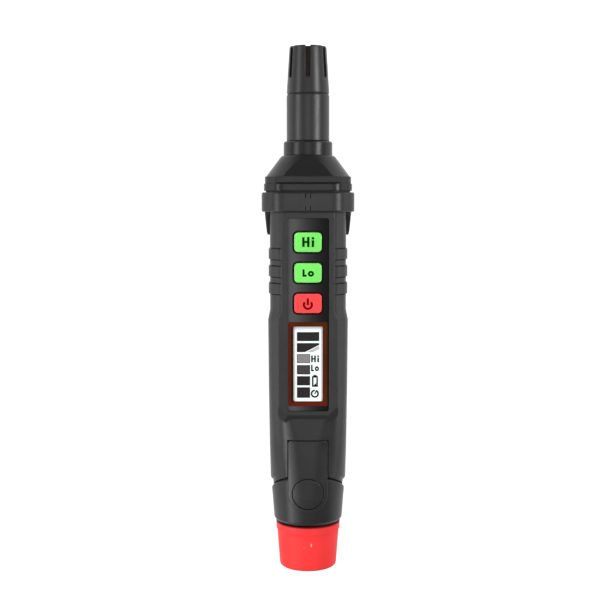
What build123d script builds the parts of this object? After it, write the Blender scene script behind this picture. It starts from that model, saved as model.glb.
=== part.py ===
"""Pen-type combustible gas detector, lying on its back with the key panel facing up.

+Y points to the sensor tip, +X to the right of the key panel and +Z out of it.
The origin is on the surface that the pen lies on, under the middle of its length.
Stations are distances from the tail end along the pen, and levels are heights above its axis.
"""
from build123d import *
from functools import cache
from math import atan2, hypot, pi, tan
import os

# Lengths that follow each other from the tail end to the sensor tip
tail_cap_length = 17.2
sleeve_length = 12.3
belly_length = 62.8
flare_length = 3.7
waist_length = 35.1
collar_length = 6.95
gasket_thickness = 0.6
nose_base_length = 4.95
shoulder_length = 7.55
neck_ring_length = 5.15
neck_length = 16.9
crown_length = 16.8

sleeve_start = tail_cap_length
seam_station = sleeve_start + sleeve_length
flare_start = seam_station + belly_length
waist_start = flare_start + flare_length
collar_start = waist_start + waist_length
housing_end = collar_start + collar_length
nose_start = housing_end + gasket_thickness
shoulder_start = nose_start + nose_base_length
neck_ring_start = shoulder_start + shoulder_length
neck_start = neck_ring_start + neck_ring_length
crown_start = neck_start + neck_length
overall_length = crown_start + crown_length

# Clearances, and the reach of a cut past a face or of a fused piece into its neighbour
fit_gap = 0.05
slide_gap = 0.2
overrun = 1.0
overlap = 0.1

# Levels of the housing, its rim and the key panel
axis_height = 14.5
waist_front = 12.3
waist_back_extra = 0.3
belly_front_rise = 0.4
lower_belly_front_rise = 0.2
lower_belly_back_rise = 0.5
body_end_front_rise = 0.5
rim_rise = 1.1
panel_sink = 0.6
wall = 1.8

waist_back = waist_front + waist_back_extra
belly_front = waist_front + belly_front_rise
lower_belly_front = belly_front + lower_belly_front_rise
lower_belly_back = axis_height - lower_belly_back_rise
body_end_front = belly_front + body_end_front_rise
rim_top = waist_front + rim_rise
panel_top = rim_top - panel_sink

# Key panel and display sandwich, down to the board
panel_half = 7.45
panel_thickness = 1.2
panel_corner = 1.0
panel_gap = 0.05
panel_start_gap = 2.2
panel_tail = 1.8
bezel_margin = 0.45
bezel_length = 30.2
bezel_thickness = 0.4
bezel_side = 1.7
bezel_end = 1.55
window_corner = 0.6
glass_side_margin = 0.9
glass_end_margin = 1.15
glass_thickness = 2.0
glass_corner = 0.3
glass_drop = 0.5
glass_window_gap = 0.1
backlight_thickness = 1.9
backlight_margin = 0.4
connector_height = 2.0
connector_width = 1.6
connector_offset = 4.9
connector_end_gap = 2.7
board_thickness = 1.2

panel_low = panel_top - panel_thickness
glass_low = panel_low - glass_thickness
backlight_low = glass_low - backlight_thickness
board_top = backlight_low - connector_height
board_bottom = board_top - board_thickness
bezel_half = panel_half - bezel_margin
window_half = bezel_half - bezel_side
window_length = bezel_length - 2 * bezel_end
glass_half = window_half + glass_side_margin
glass_length = window_length + 2 * glass_end_margin
connector_length = glass_length - 2 * connector_end_gap

# Keys and their switches
key_count = 3
key_width = 9.7
key_height = 6.85
key_corner = 1.4
key_stand = 0.35
key_pitch = 10.85
last_key_distance = 10.6
key_gap = 0.25
key_travel = 0.5
key_flange_reach = 1.0
key_flange_thickness = 0.8
key_flange_gap = 0.1
key_edge_radius = 0.3
key_display_distance = 3.275
switch_size = 6.0
switch_body_height = 2.6
plunger_radius = 1.7
plunger_gap = 0.1

key_top = panel_top + key_stand
key_flange_top = waist_front - wall - key_flange_gap
key_low = key_flange_top - key_flange_thickness
switch_top = board_top + switch_body_height
plunger_top = key_low - key_travel - plunger_gap
power_key_station = collar_start - last_key_distance - (key_count - 1) * key_pitch
display_end = power_key_station - key_height / 2 - key_display_distance
display_station = display_end - bezel_length / 2
panel_end_station = display_station - bezel_length / 2 - panel_tail

# Raised rim round the key panel
rim_width = 2.15
rim_lower_width = 3.4
rim_step_margin = 0.55
rim_step_radius = 1.5
rim_tail = 4.3
rim_end_radius = 3.8
rim_bevel_length = 2.9
rim_bevel_drop = 1.1
rim_bevel_turn = 45
rim_edge_chamfer = 0.35

rim_half = panel_half + rim_width
rim_lower_half = panel_half + rim_lower_width
rim_end_station = panel_end_station - rim_tail

# Cells, their tray and the battery cap's plug
cell_radius = 5.25
cell_length = 44.5
cell_nub_radius = 1.9
cell_nub_length = 0.8
cell_edge = 0.3
cell_pitch = 10.7
tray_clearance = 0.15
tray_wall = 0.5
tray_end_wall = 1.0
tray_start_gap = 0.5
tray_board_gap = 0.8
contact_travel = 1.9
contact_thickness = 0.3
contact_width = 5.0
contact_side = 1.1
contact_tip_half = 0.5
contact_tip_inner_half = 0.2
bridge_thickness = 0.4
bridge_margin = 1.2
bay_end_distance = 8.2
plug_entry = 3.0
plug_clearance = 0.3
plug_bore_gap = 0.265

tray_inner_radius = cell_radius + tray_clearance
tray_outer_radius = tray_inner_radius + tray_wall
cell_level = board_bottom - tray_board_gap - tray_outer_radius
plug_radius = tray_inner_radius - plug_clearance
bay_end_station = seam_station + bay_end_distance
plug_end_station = bay_end_station + plug_entry
cell_start = plug_end_station + bridge_thickness
cell_end = cell_start + cell_length
contact_wall = cell_end + contact_travel
tray_end = contact_wall + tray_end_wall

# Slanted joint between the housing and the battery cap
seam_slope = 0.5
seam_gap = 0.6
seam_land_length = 3.1
seam_land_inset = 0.75
seam_front_slope = 0.21
sleeve_edge_radius = 0.7
lip_wall = 0.65
lip_length = 2.1
lip_end_gap = 0.4
lip_root = 4.0
sleeve_lip_wall = 1.2

lip_bore_radius = hypot(cell_pitch / 2, cell_level) + plug_radius + plug_bore_gap
lip_radius = lip_bore_radius + lip_wall

# Housing cross-sections: half widths and the slanted facets between sides, front and back
waist_half = 13.7
waist_facet_run = 4.3
waist_facet_drop = 5.6
belly_half = 14.45
belly_facet_run = 4.4
belly_facet_drop = 5.8
mid_belly_narrowing = 0.2
mid_belly_distance = 38.2
lower_belly_narrowing = 0.4
lower_belly_distance = 17.0
lower_belly_facet_run = 6.97
lower_belly_facet_drop = 7.67
lower_belly_back_drop = 8.37
lower_belly_front_radius = 11.0
lower_belly_side_radius = 8.0
body_end_margin = 0.6
body_end_distance = 4.4
body_end_front_radius = 11.0
body_end_side_radius = 12.0
sleeve_top_distance = 1.7
sleeve_low_distance = 1.4
sleeve_taper = 0.7
sleeve_end_taper = 0.65
front_corner_radius = 2.5
side_corner_radius = 6.0
least_corner_radius = 0.3
round_section_share = 0.94

mid_belly_half = belly_half - mid_belly_narrowing
lower_belly_half = belly_half - lower_belly_narrowing
sleeve_top_radius = lip_radius + slide_gap + sleeve_lip_wall
sleeve_low_radius = sleeve_top_radius - sleeve_taper
sleeve_end_radius = sleeve_low_radius - sleeve_end_taper
body_end_half = sleeve_top_radius + body_end_margin

# Battery cap, its tongue and the channel that the tongue slides in
cap_wall = 1.4
cap_floor_distance = 3.0
tongue_half = 7.1
tongue_reach = 19.6
tongue_rise = 0.3
tongue_thickness = 2.3
tongue_gap = 0.25
tongue_corner = 0.8
channel_floor_thickness = 1.4
channel_wall = 1.4
channel_embed = 0.6
cap_seal_width = 1.2
cap_seal_depth = 0.6
cap_seal_stand = 0.2
cap_seal_distance = 1.2

cap_floor_station = sleeve_start + cap_floor_distance
tongue_end_station = seam_station + tongue_reach
tongue_floor_level = belly_front - tongue_thickness
channel_top = tongue_floor_level - tongue_gap
channel_bottom = channel_top - channel_floor_thickness
cap_seal_station = bay_end_station + cap_seal_distance

# Latch button and its spring
tongue_ring_width = 1.5
button_gap = 0.2
button_edge_radius = 0.3
button_offset = 0.2
button_travel = 0.8
button_pocket_skin = 0.65
button_pin_radius = 1.4
button_head_radius = 2.2
button_head_thickness = 0.8
button_head_gap = 0.1
button_head_clearance = 2.3
washer_bore_gap = 1.2
washer_margin = 0.8
washer_thickness = 0.15
washer_rim = 0.2

button_radius = tongue_half - tongue_ring_width
button_station = seam_station + button_offset
pocket_floor = tongue_floor_level + button_pocket_skin
button_low = pocket_floor + button_travel + washer_thickness
head_top = tongue_floor_level - button_head_gap

# Red tail cap on the sleeve's neck
tail_seam_gap = 0.5
tail_lip_inset = 0.05
tail_lip_length = 2.9
tail_lip_edge = 0.3
tail_step_inset = 0.1
tail_step_length = 1.1
tail_top_inset = 0.45
tail_taper = 0.95
tail_edge_radius = 1.3
tail_wall = 1.35
tail_end_wall = 1.6
tail_floor = 1.6
tail_neck_wall = 1.5
tail_neck_length = 11.5

tail_lip_radius = sleeve_end_radius - tail_lip_inset
tail_top_radius = tail_lip_radius - tail_top_inset
tail_end_radius = tail_top_radius - tail_taper
tail_neck_radius = tail_top_radius - tail_wall
tail_neck_start = sleeve_start + tail_seam_gap - tail_neck_length

# Grip pads on both sides of the waist
pad_count = 3
pad_length = 3.6
pad_pitch = 6.2
pad_shift = 0.5
pad_height = 0.5
pad_back_level = -6.5
pad_groove_width = 0.35
pad_groove_depth = 0.3

# Collar, its side lugs and twin notches
collar_side_wall = 2.9
collar_front_wall = 2.2
collar_facet_run = 5.6
collar_facet_drop = 6.4
collar_corner_radius = 6.5
collar_edge_radius = 0.6
lug_length = 8.3
lug_half_depth = 4.2
lug_top_rise = 1.9
lug_tip_rise = 1.0
lug_tip_length = 1.2
lug_tip_bevel = 0.3
lug_tip_half = 1.2
lug_edge_radius = 0.6
lug_edge_level = 0.6
notch_offset = 0.85
notch_width = 0.35
notch_length = 2.0
notch_depth = 0.3

collar_half = waist_half + collar_side_wall
collar_front = waist_front + collar_front_wall
lug_tip_station = collar_start - lug_length

# Nose and the plug that it seats in the housing
nose_base_half = 15.75
nose_base_inset = 0.8
nose_base_run = 5.2
nose_base_drop = 5.8
nose_base_corner = 5.0
nose_step_inset = 0.35
nose_ledge_distance = 2.4
nose_ledge_height = 1.2
nose_groove_depth = 0.4
nose_groove_width = 0.35
nose_plug_clearance = 0.1
nose_plug_wall = 1.4
nose_plug_length = 5.0
shoulder_inset = 0.1
shoulder_stand = 1.1
shoulder_edge = 0.5
shoulder_edge_length = 0.4
shoulder_facet_inset = 0.1
neck_ring_stand = 1.1
neck_ring_edge = 0.5
gasket_inset = 0.65

# Neck tube and its seal
neck_radius = 7.7
neck_edge = 0.2
neck_plug_inset = 1.1
neck_plug_length = 6.0
neck_seat_width = 0.4
neck_seat_depth = 1.2
neck_groove_wall = 1.0
seal_section_radius = 0.5
seal_groove_depth = 1.02
seal_groove_width = 1.4
seal_distance = 3.0

nose_plug_radius = waist_front - wall - nose_plug_clearance
nose_plug_bore = nose_plug_radius - nose_plug_wall
nose_base_level = collar_front - nose_base_inset
nose_facet_level = nose_base_level - nose_ledge_height
shoulder_base_radius = nose_base_half - nose_step_inset - shoulder_inset
neck_ring_radius = neck_radius + neck_ring_stand
shoulder_top_radius = neck_ring_radius + shoulder_stand
neck_plug_radius = neck_radius - neck_plug_inset
neck_seat_bore = neck_plug_radius - neck_seat_width
seal_groove_radius = neck_plug_radius - seal_groove_depth
neck_bore = seal_groove_radius - neck_groove_wall

# Sensor crown and what it holds
crown_step = 0.05
crown_taper = 1.0
crown_wall = 1.3
crown_seam_gap = 0.35
crown_seam_depth = 0.3
crown_plug_length = 2.5
crown_edge_radius = 0.5
crown_base_edge = 0.3
crown_seat_length = 1.2
slot_count = 6
slot_width = 1.75
slot_length = 11.3
screen_drop = 0.3
screen_thickness = 0.6
screen_edge_radius = 0.25
sensor_board_thickness = 1.0
sensor_clearance = 0.25
sensor_screen_gap = 2.3
sensor_flange_stand = 0.6
sensor_flange_length = 0.8

crown_base_radius = neck_radius - crown_step
crown_top_radius = crown_base_radius - crown_taper
crown_low_bore = crown_base_radius - crown_wall
crown_top_bore = crown_top_radius - crown_wall
crown_plug_end = crown_start + crown_plug_length
sensor_start = crown_plug_end + sensor_board_thickness
sensor_flange_end = sensor_start + sensor_flange_length
screen_station = overall_length - screen_drop
screen_radius = crown_top_bore - fit_gap
screen_bore = screen_radius - screen_thickness
sensor_radius = screen_bore - sensor_clearance
sensor_end = screen_station - screen_thickness - sensor_screen_gap

# Board, the parts under it and the sensor's wires
board_half = 9.6
board_tail = 2.9
board_collar_gap = 1.0
chip_size = 7.0
chip_thickness = 1.1
chip_gap = 2.3
buzzer_radius = 5.0
buzzer_length = 4.4
buzzer_gap = 5.4
buzzer_hole_radius = 1.0
buzzer_hole_depth = 1.0
lead_radius = 0.45
lead_spacing = 1.5
lead_bend_radius = 3.0
lead_count = 3

board_start = panel_end_station - board_tail
board_end = collar_start - board_collar_gap
chip_station = tray_end + chip_gap + chip_size / 2
buzzer_station = chip_station + chip_size / 2 + buzzer_gap + buzzer_radius

# Screws, their bosses and posts, and the back's ribs and sound slots
boss_radius = 1.9
boss_skin = 0.3
pilot_floor = 1.0
screw_radius = 0.9
screw_hole_gap = 0.1
screw_pilot_radius = 0.75
screw_head_radius = 1.7
post_radius = 2.3
housing_screw_offset = 8.3
housing_screw_length = 10.0
housing_screw_head_length = 1.5
housing_screw_seat = -6.0
tray_screw_distance = 5.2
end_screw_distance = 5.8
board_screw_length = 5.0
board_screw_head_length = 0.7
board_screw_distance = 2.2
sound_slot_count = 3
sound_slot_length = 7.0
sound_slot_width = 1.0
sound_slot_pitch = 2.2
rib_count = 3
rib_thickness = 1.2
rib_embed = 0.3
rib_end_distance = 6.0

housing_screw_stations = (tray_end + tray_screw_distance, board_end - end_screw_distance)
board_screw_stations = (board_start + board_screw_distance, board_end - board_screw_distance)


def along(station):
    """Y of a distance from the tail end."""
    return station - overall_length / 2


def up(level):
    """Z of a height above the pen's axis."""
    return level + axis_height


def cross_plane(station):
    """Plane across the pen: local x is +X and local y is the level."""
    return Plane(origin=(0, along(station), axis_height), x_dir=(1, 0, 0), z_dir=(0, -1, 0))


def front_plane(level):
    """Plane seen from the front: local x is +X and local y is Y."""
    return Plane(origin=(0, 0, up(level)), x_dir=(1, 0, 0), z_dir=(0, 0, 1))


def across(sketch, start, end):
    """Prism of a cross-section between two stations."""
    return extrude(cross_plane(end) * sketch, amount=end - start)


def raised(sketch, low, high):
    """Prism of a front outline between two levels."""
    return extrude(front_plane(low) * sketch, amount=high - low)


def closed(points):
    """Face with straight sides through (x, y) points."""
    return make_face(Polyline(*points, close=True))


def turned(points):
    """Solid turned about the pen's axis from (radius, station) points."""
    outline = closed([(radius, along(station)) for radius, station in points])
    return revolve(front_plane(0) * outline, axis=pen_axis)


def sideways(points, half):
    """Prism of a side view given as (station, level) points, to both sides of the middle."""
    outline = closed([(along(station), up(level)) for station, level in points])
    return extrude(Plane.YZ * outline, amount=half, both=True)


def ring(outer, inner, start, end):
    """Plain turned ring between two stations."""
    return turned([(inner, start), (outer, start), (outer, end), (inner, end)])


def disc(radius, start, end):
    """Plain turned disc between two stations."""
    return turned([(0, start), (radius, start), (radius, end), (0, end)])


def block(half, low_station, high_station, low, high, x=0.0):
    """Box centred on x, between two stations and two levels."""
    size = (2 * half, high_station - low_station, high - low)
    middle = (x, along((low_station + high_station) / 2), up((low + high) / 2))
    return Pos(*middle) * Box(*size)


def post(radius, x, station, low, high):
    """Upright round post between two levels."""
    return Pos(x, along(station), up((low + high) / 2)) * Cylinder(radius, high - low)


def rod(radius, x, level, start, end):
    """Round rod along the pen between two stations."""
    return Pos(x, along((start + end) / 2), up(level)) * Rot(90, 0, 0) * Cylinder(radius, end - start)


def stadium(radius):
    """Two half circles a cell pitch apart, joined by flats, at the level of the cells."""
    return Pos(0, cell_level) * SlotCenterToCenter(cell_pitch, 2 * radius)


def top_edge(solid):
    """Outer edge of a turned solid's face towards the tip."""
    return solid.faces().sort_by(Axis.Y)[-1].outer_wire().edges()


pen_axis = Axis((0, 0, axis_height), (0, 1, 0))


def facet_outline(half, front, back, run, drops, radii, inset=0.0):
    """Rounded eight-sided section with its front and back facets' drops and its front and side radii.

    An inset moves every side inwards by the same distance.
    """
    front_turn = atan2(drops[0], run)
    back_turn = atan2(drops[1], run)
    front_land = half - run - inset * tan(front_turn / 2)
    back_land = half - run - inset * tan(back_turn / 2)
    front_side = front - drops[0] - inset * tan((pi / 2 - front_turn) / 2)
    back_side = back - drops[1] - inset * tan((pi / 2 - back_turn) / 2)
    right = [
        (front_land, front - inset),
        (half - inset, front_side),
        (half - inset, -back_side),
        (back_land, -back + inset),
    ]
    left = [(-x, level) for x, level in reversed(right)]
    corner, side = [max(radius - inset, least_corner_radius) for radius in radii]
    rounds = [corner, side, side, corner]
    return make_face(FilletPolyline(*right, *left, radius=rounds + rounds, close=True))


def round_outline(radius, inset=0.0):
    """Nearly round section with the same eight sides."""
    run = radius * (1 - tan(pi / 8))
    rounding = round_section_share * radius
    return facet_outline(radius, radius, radius, run, (run, run), (rounding, rounding), inset)


def waist_outline(inset=0.0):
    """Section of the waist, which runs on under the collar."""
    drops = (waist_facet_drop, waist_facet_drop)
    radii = (front_corner_radius, side_corner_radius)
    return facet_outline(waist_half, waist_front, waist_back, waist_facet_run, drops, radii, inset)


@cache
def barrel(inset=0.0):
    """Outer form of housing and battery sleeve, moved inwards by an inset."""
    drops = (belly_facet_drop, belly_facet_drop)
    radii = (front_corner_radius, side_corner_radius)
    belly = facet_outline(belly_half, belly_front, axis_height, belly_facet_run, drops, radii, inset)
    mid_belly = facet_outline(mid_belly_half, belly_front, axis_height, belly_facet_run, drops, radii, inset)
    drops = (lower_belly_facet_drop, lower_belly_back_drop)
    radii = (lower_belly_front_radius, lower_belly_side_radius)
    lower_belly = facet_outline(
        lower_belly_half, lower_belly_front, lower_belly_back, lower_belly_facet_run, drops, radii, inset)
    run = body_end_half * (1 - tan(pi / 8))
    radii = (body_end_front_radius, body_end_side_radius)
    body_end = facet_outline(body_end_half, body_end_front, body_end_half, run, (run, run), radii, inset)
    sections = [
        cross_plane(sleeve_start + tail_seam_gap) * round_outline(sleeve_end_radius, inset),
        cross_plane(sleeve_start + sleeve_low_distance) * round_outline(sleeve_low_radius, inset),
        cross_plane(seam_station - sleeve_top_distance) * round_outline(sleeve_top_radius, inset),
        cross_plane(seam_station + body_end_distance) * body_end,
        cross_plane(seam_station + lower_belly_distance) * lower_belly,
        cross_plane(seam_station + mid_belly_distance) * mid_belly,
        cross_plane(flare_start) * belly,
        cross_plane(waist_start) * waist_outline(inset),
        cross_plane(housing_end) * waist_outline(inset),
    ]
    return loft(sections, ruled=True)


def seam_side(solid, station, keep):
    """Part of a solid on one side of the slanted seam that crosses the axis at a station."""
    seam = Plane(origin=(0, along(station), axis_height), z_dir=(0, 1, -seam_slope))
    return split(solid, bisect_by=seam, keep=keep)


def step_zone(extra=0.0):
    """Space below the housing's step, whose end slants less in front of the axis than behind it."""
    start = seam_station + seam_gap + seam_land_length + extra
    reach = collar_half
    profile = [
        (start - seam_slope * reach, -reach),
        (start, 0),
        (start + seam_front_slope * reach, reach),
        (0, reach),
        (0, -reach),
    ]
    return sideways(profile, collar_half)


def mirrored(right):
    """Closed outline through points on the right and their mirror images on the left."""
    return right + [(-x, y) for x, y in reversed(right)]


def tongue_outline(extra=0.0):
    """Front outline of the tongue: square towards the tip, round about the latch button."""
    half = tongue_half + extra
    end = along(tongue_end_station + extra)
    centre = along(button_station)
    return closed(mirrored([(half, centre), (half, end)])) + Pos(0, centre) * Circle(half)


def rim_outline():
    """Front outline of the raised rim round the key panel, from under the collar to its lower end."""
    low = along(rim_end_station)
    right = [
        (rim_half, along(collar_start + overrun)),
        (rim_half, along(waist_start - rim_step_margin)),
        (rim_lower_half, along(flare_start + rim_step_margin)),
        (rim_lower_half, low),
    ]
    rounds = [0, rim_step_radius, rim_step_radius, rim_end_radius]
    return make_face(FilletPolyline(*mirrored(right), radius=rounds + rounds[::-1], close=True))


def panel_outline(extra=0.0):
    """Front outline of the sunk key panel."""
    low = panel_end_station - extra
    high = collar_start - panel_start_gap + extra
    shape = RectangleRounded(2 * (panel_half + extra), high - low, panel_corner)
    return Pos(0, along((low + high) / 2)) * shape


def key_station(index):
    """Station of a key's centre, counted from the power key."""
    return power_key_station + index * key_pitch


def key_outline(index, extra=0.0, reach=0.0):
    """Front outline of a key, grown by extra all round and by reach along the pen."""
    shape = RectangleRounded(key_width + 2 * extra, key_height + 2 * (extra + reach), key_corner)
    return Pos(0, along(key_station(index))) * shape


def display_outline(half, length, corner):
    """Front outline centred on the display."""
    return Pos(0, along(display_station)) * RectangleRounded(2 * half, length, corner)


def rim():
    """Raised rim whose lower end is bevelled, also round its corners."""
    solid = raised(rim_outline(), waist_front - wall, rim_top)
    top_edges = solid.faces().sort_by(Axis.Z)[-1].edges()
    bare_edges = top_edges.filter_by(lambda edge: edge.center().Y < along(collar_start))
    solid = chamfer(bare_edges, rim_edge_chamfer)
    start = rim_end_station + rim_bevel_length
    end = rim_end_station - rim_bevel_length
    above = rim_top + overrun
    cut = [(start, rim_top), (end, rim_top - 2 * rim_bevel_drop), (end, above), (start, above)]
    cutter = sideways(cut, rim_lower_half)
    solid = solid - cutter
    for side in (-1, 1):
        corner = (side * (rim_lower_half - rim_end_radius), along(rim_end_station + rim_end_radius), 0)
        solid = solid - cutter.rotate(Axis(corner, (0, 0, 1)), side * rim_bevel_turn)
    return solid


def pad_zones(start, end):
    """Space beside the rim on both sides between two stations."""
    inner = rim_half - overlap
    outer = waist_half + overrun
    half = (outer - inner) / 2
    middle = (outer + inner) / 2
    left = block(half, start, end, pad_back_level, rim_top, -middle)
    return left + block(half, start, end, pad_back_level, rim_top, middle)


def pad_starts():
    """Station of each grip pad's end towards the tail."""
    middle = (waist_start + lug_tip_station) / 2 + pad_shift
    first = middle - (pad_count - 1) / 2 * pad_pitch - pad_length / 2
    return [first + index * pad_pitch for index in range(pad_count)]


def with_grip_pads(solid):
    """Housing with raised pads on each side, from the rim round to the back, and a groove at their ends."""
    for start in pad_starts():
        end = start + pad_length
        solid = solid + (across(waist_outline(-pad_height), start, end) & pad_zones(start, end))
        for low, high in ((start - pad_groove_width, start), (end, end + pad_groove_width)):
            skin = across(waist_outline(-overlap) - waist_outline(pad_groove_depth), low, high)
            solid = solid - (skin & pad_zones(low, high))
    return solid


@cache
def housing():
    """Both housing halves in one, its cavity, and the bore of the stepped end that meets the battery cap."""
    main = seam_side(barrel() - step_zone(), seam_station + seam_gap, Keep.TOP)
    land = seam_side(barrel(seam_land_inset) & step_zone(overrun), seam_station + seam_gap, Keep.TOP)
    lip = disc(lip_radius, cap_floor_station, bay_end_station + lip_root)
    lip = seam_side(lip, seam_station + seam_gap - lip_length, Keep.TOP)
    lip = seam_side(lip, seam_station + seam_gap + overrun, Keep.BOTTOM)
    inside = block(collar_half, bay_end_station, housing_end + overrun, -axis_height, axis_height)
    bore = disc(lip_bore_radius, cap_floor_station - overrun, bay_end_station + overrun)
    return with_grip_pads(main) + land + lip, barrel(wall) & inside, bore


def channel():
    """Floor and sides under the tongue, before the tongue's own space is cut."""
    side = tongue_gap + channel_wall
    solid = block(tongue_half + side, seam_station, tongue_end_station + side, channel_bottom,
                  belly_front - wall + channel_embed)
    return seam_side(solid, seam_station + seam_gap, Keep.TOP) & barrel(wall / 2)


def tongue_space():
    """Space that the tongue and the latch button's head slide in."""
    half = tongue_half + tongue_gap
    head_end = button_station + button_head_radius + button_head_clearance
    slot = raised(tongue_outline(tongue_gap), channel_top, axis_height)
    slot = slot + block(half, cap_floor_station, button_station + overrun, channel_top, axis_height)
    return slot + block(half, cap_floor_station, head_end, channel_bottom - slide_gap, axis_height)


def screw_places():
    """X and station of each housing screw."""
    return [(side * housing_screw_offset, station) for station in housing_screw_stations for side in (-1, 1)]


def front_shell():
    """Front half: panel recess, key holes, screw bosses and the tongue's channel."""
    outer, cavity, bore = housing()
    boss_top = panel_low - boss_skin
    pilot_top = boss_top - pilot_floor
    solid = (outer - cavity - bore) & block(collar_half, 0, housing_end, 0, axis_height)
    solid = solid + (rim() - block(collar_half, collar_start, overall_length, 0, axis_height) - cavity)
    solid = solid + channel()
    solid = solid - raised(panel_outline(panel_gap), panel_low, axis_height)
    for index in range(key_count):
        solid = solid - raised(key_outline(index, key_gap), 0, axis_height)
    well = display_outline(glass_half + key_gap, glass_length + 2 * key_gap, window_corner)
    solid = solid - raised(well, 0, panel_low + overlap)
    for x, station in screw_places():
        solid = solid + (post(boss_radius, x, station, 0, boss_top) & barrel(wall / 2))
        solid = solid - post(screw_pilot_radius, x, station, -overrun, pilot_top)
    for station in board_screw_stations:
        solid = solid + post(boss_radius, 0, station, board_top, boss_top)
        solid = solid - post(screw_pilot_radius, 0, station, board_top - overrun, pilot_top)
    return solid - tongue_space()


def rear_shell():
    """Back half: screw posts, tray ribs and sound slots."""
    outer, cavity, bore = housing()
    solid = (outer - cavity - bore) & block(collar_half, 0, housing_end, -axis_height, 0)
    tray_envelope = across(stadium(tray_outer_radius + fit_gap), bay_end_station, tray_end)
    rib_zone = tray_end - bay_end_station - 2 * rib_end_distance
    for index in range(rib_count):
        start = bay_end_station + rib_end_distance + index * rib_zone / (rib_count - 1)
        slab = block(belly_half, start, start + rib_thickness, -axis_height, cell_level)
        solid = solid + ((barrel(wall - rib_embed) & slab) - tray_envelope)
    for x, station in screw_places():
        solid = solid + (post(post_radius, x, station, -axis_height, 0) & barrel(wall / 2))
        solid = solid - post(screw_radius + screw_hole_gap, x, station, -axis_height, overlap)
        counterbore = screw_head_radius + slide_gap
        solid = solid - post(counterbore, x, station, -axis_height - overrun, housing_screw_seat)
    for index in range(sound_slot_count):
        station = buzzer_station + (index - (sound_slot_count - 1) / 2) * sound_slot_pitch
        solid = solid - block(sound_slot_length / 2, station - sound_slot_width / 2,
                              station + sound_slot_width / 2, -axis_height, -wall)
    return solid


def collar():
    """Clamping ring with twin notches and a pointed lug on each side."""
    drops = (collar_facet_drop, collar_facet_drop)
    radii = (collar_corner_radius, collar_corner_radius)
    outline = facet_outline(collar_half, collar_front, axis_height, collar_facet_run, drops, radii)
    solid = across(outline, collar_start, housing_end)
    solid = fillet(solid.faces().filter_by(Axis.Y).edges(), collar_edge_radius)
    solid = solid - across(waist_outline(-fit_gap), collar_start - overrun, housing_end + overrun)
    low = collar_front - notch_depth
    for side in (-1, 1):
        solid = solid + lug(side)
        for start in (collar_start - overrun, housing_end - notch_length):
            notch = block(notch_width / 2, start, start + notch_length + overrun, low, axis_height + overrun)
            solid = solid - Pos(side * notch_offset, 0, 0) * notch
    return solid


def lug(side):
    """Tapering lug that points down the housing from the collar."""
    root = collar_start + overrun
    plan = [
        (waist_half + fit_gap, root),
        (waist_half + lug_top_rise, root),
        (waist_half + lug_top_rise, collar_start),
        (waist_half + lug_tip_rise + lug_tip_bevel, lug_tip_station + lug_tip_length),
        (waist_half + lug_tip_rise, lug_tip_station),
        (waist_half + fit_gap, lug_tip_station),
    ]
    outline = closed([(side * x, along(station)) for x, station in plan])
    wedge = extrude(front_plane(-lug_half_depth) * outline, amount=2 * lug_half_depth)
    front = [
        (root, lug_half_depth),
        (collar_start - overrun, lug_half_depth),
        (lug_tip_station, lug_tip_half),
    ]
    back = [(station, -level) for station, level in reversed(front)]
    solid = wedge & sideways(front + back, collar_half)
    outer = solid.edges().filter_by(lambda edge: abs(edge.center().X) > waist_half + lug_edge_level)
    return fillet(outer.filter_by(Axis.Z, reverse=True), lug_edge_radius)


def nose_base_outline(inset=0.0):
    """Section of the nose's base, which seats on the gasket."""
    drops = (nose_base_drop, nose_base_drop)
    radii = (nose_base_corner, nose_base_corner)
    return facet_outline(nose_base_half, nose_base_level, nose_base_level, nose_base_run, drops, radii, inset)


def flats_zone():
    """Space between the nose's front and back facets, with a ledge and a groove at their foot."""
    top_level = shoulder_top_radius - shoulder_facet_inset
    ledge = nose_start + nose_ledge_distance
    front = [
        (nose_start - overrun, nose_base_level + overrun),
        (ledge, nose_base_level + overrun),
        (ledge, nose_facet_level - nose_groove_depth),
        (ledge + nose_groove_width, nose_facet_level - nose_groove_depth),
        (ledge + nose_groove_width, nose_facet_level),
        (shoulder_start, nose_facet_level),
        (neck_ring_start, top_level),
        (neck_start + overrun, top_level),
    ]
    back = [(station, -level) for station, level in reversed(front)]
    return sideways(front + back, nose_base_half + overrun)


def nose_cone():
    """Neck ring, shoulder with flat facets, and stepped base that plugs into the housing."""
    ledge = nose_start + nose_ledge_distance
    base = across(nose_base_outline(), nose_start, ledge)
    base = base + across(nose_base_outline(nose_step_inset), ledge, shoulder_start)
    outer = base + turned([
        (0, nose_start),
        (nose_facet_level, nose_start),
        (shoulder_base_radius, shoulder_start),
        (shoulder_top_radius, neck_ring_start - shoulder_edge_length),
        (shoulder_top_radius - shoulder_edge, neck_ring_start),
        (neck_ring_radius, neck_ring_start),
        (neck_ring_radius, neck_start - neck_ring_edge),
        (neck_ring_radius - neck_ring_edge, neck_start),
        (0, neck_start),
    ])
    plug_start = nose_start - nose_plug_length
    seat = neck_start - neck_plug_length
    hollow = turned([
        (0, plug_start - overrun),
        (nose_plug_bore, plug_start - overrun),
        (nose_plug_bore, shoulder_start),
        (neck_seat_bore, neck_ring_start - neck_seat_depth),
        (neck_seat_bore, seat),
        (neck_plug_radius + fit_gap, seat),
        (neck_plug_radius + fit_gap, neck_start + overrun),
        (0, neck_start + overrun),
    ])
    return (outer & flats_zone()) + disc(nose_plug_radius, plug_start, nose_start + overrun) - hollow


def nose_gasket():
    """Flat ring clamped between nose and collar."""
    flat = across(nose_base_outline(gasket_inset), housing_end, nose_start)
    return flat - disc(nose_plug_radius + fit_gap, housing_end - overrun, nose_start + overrun)


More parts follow.
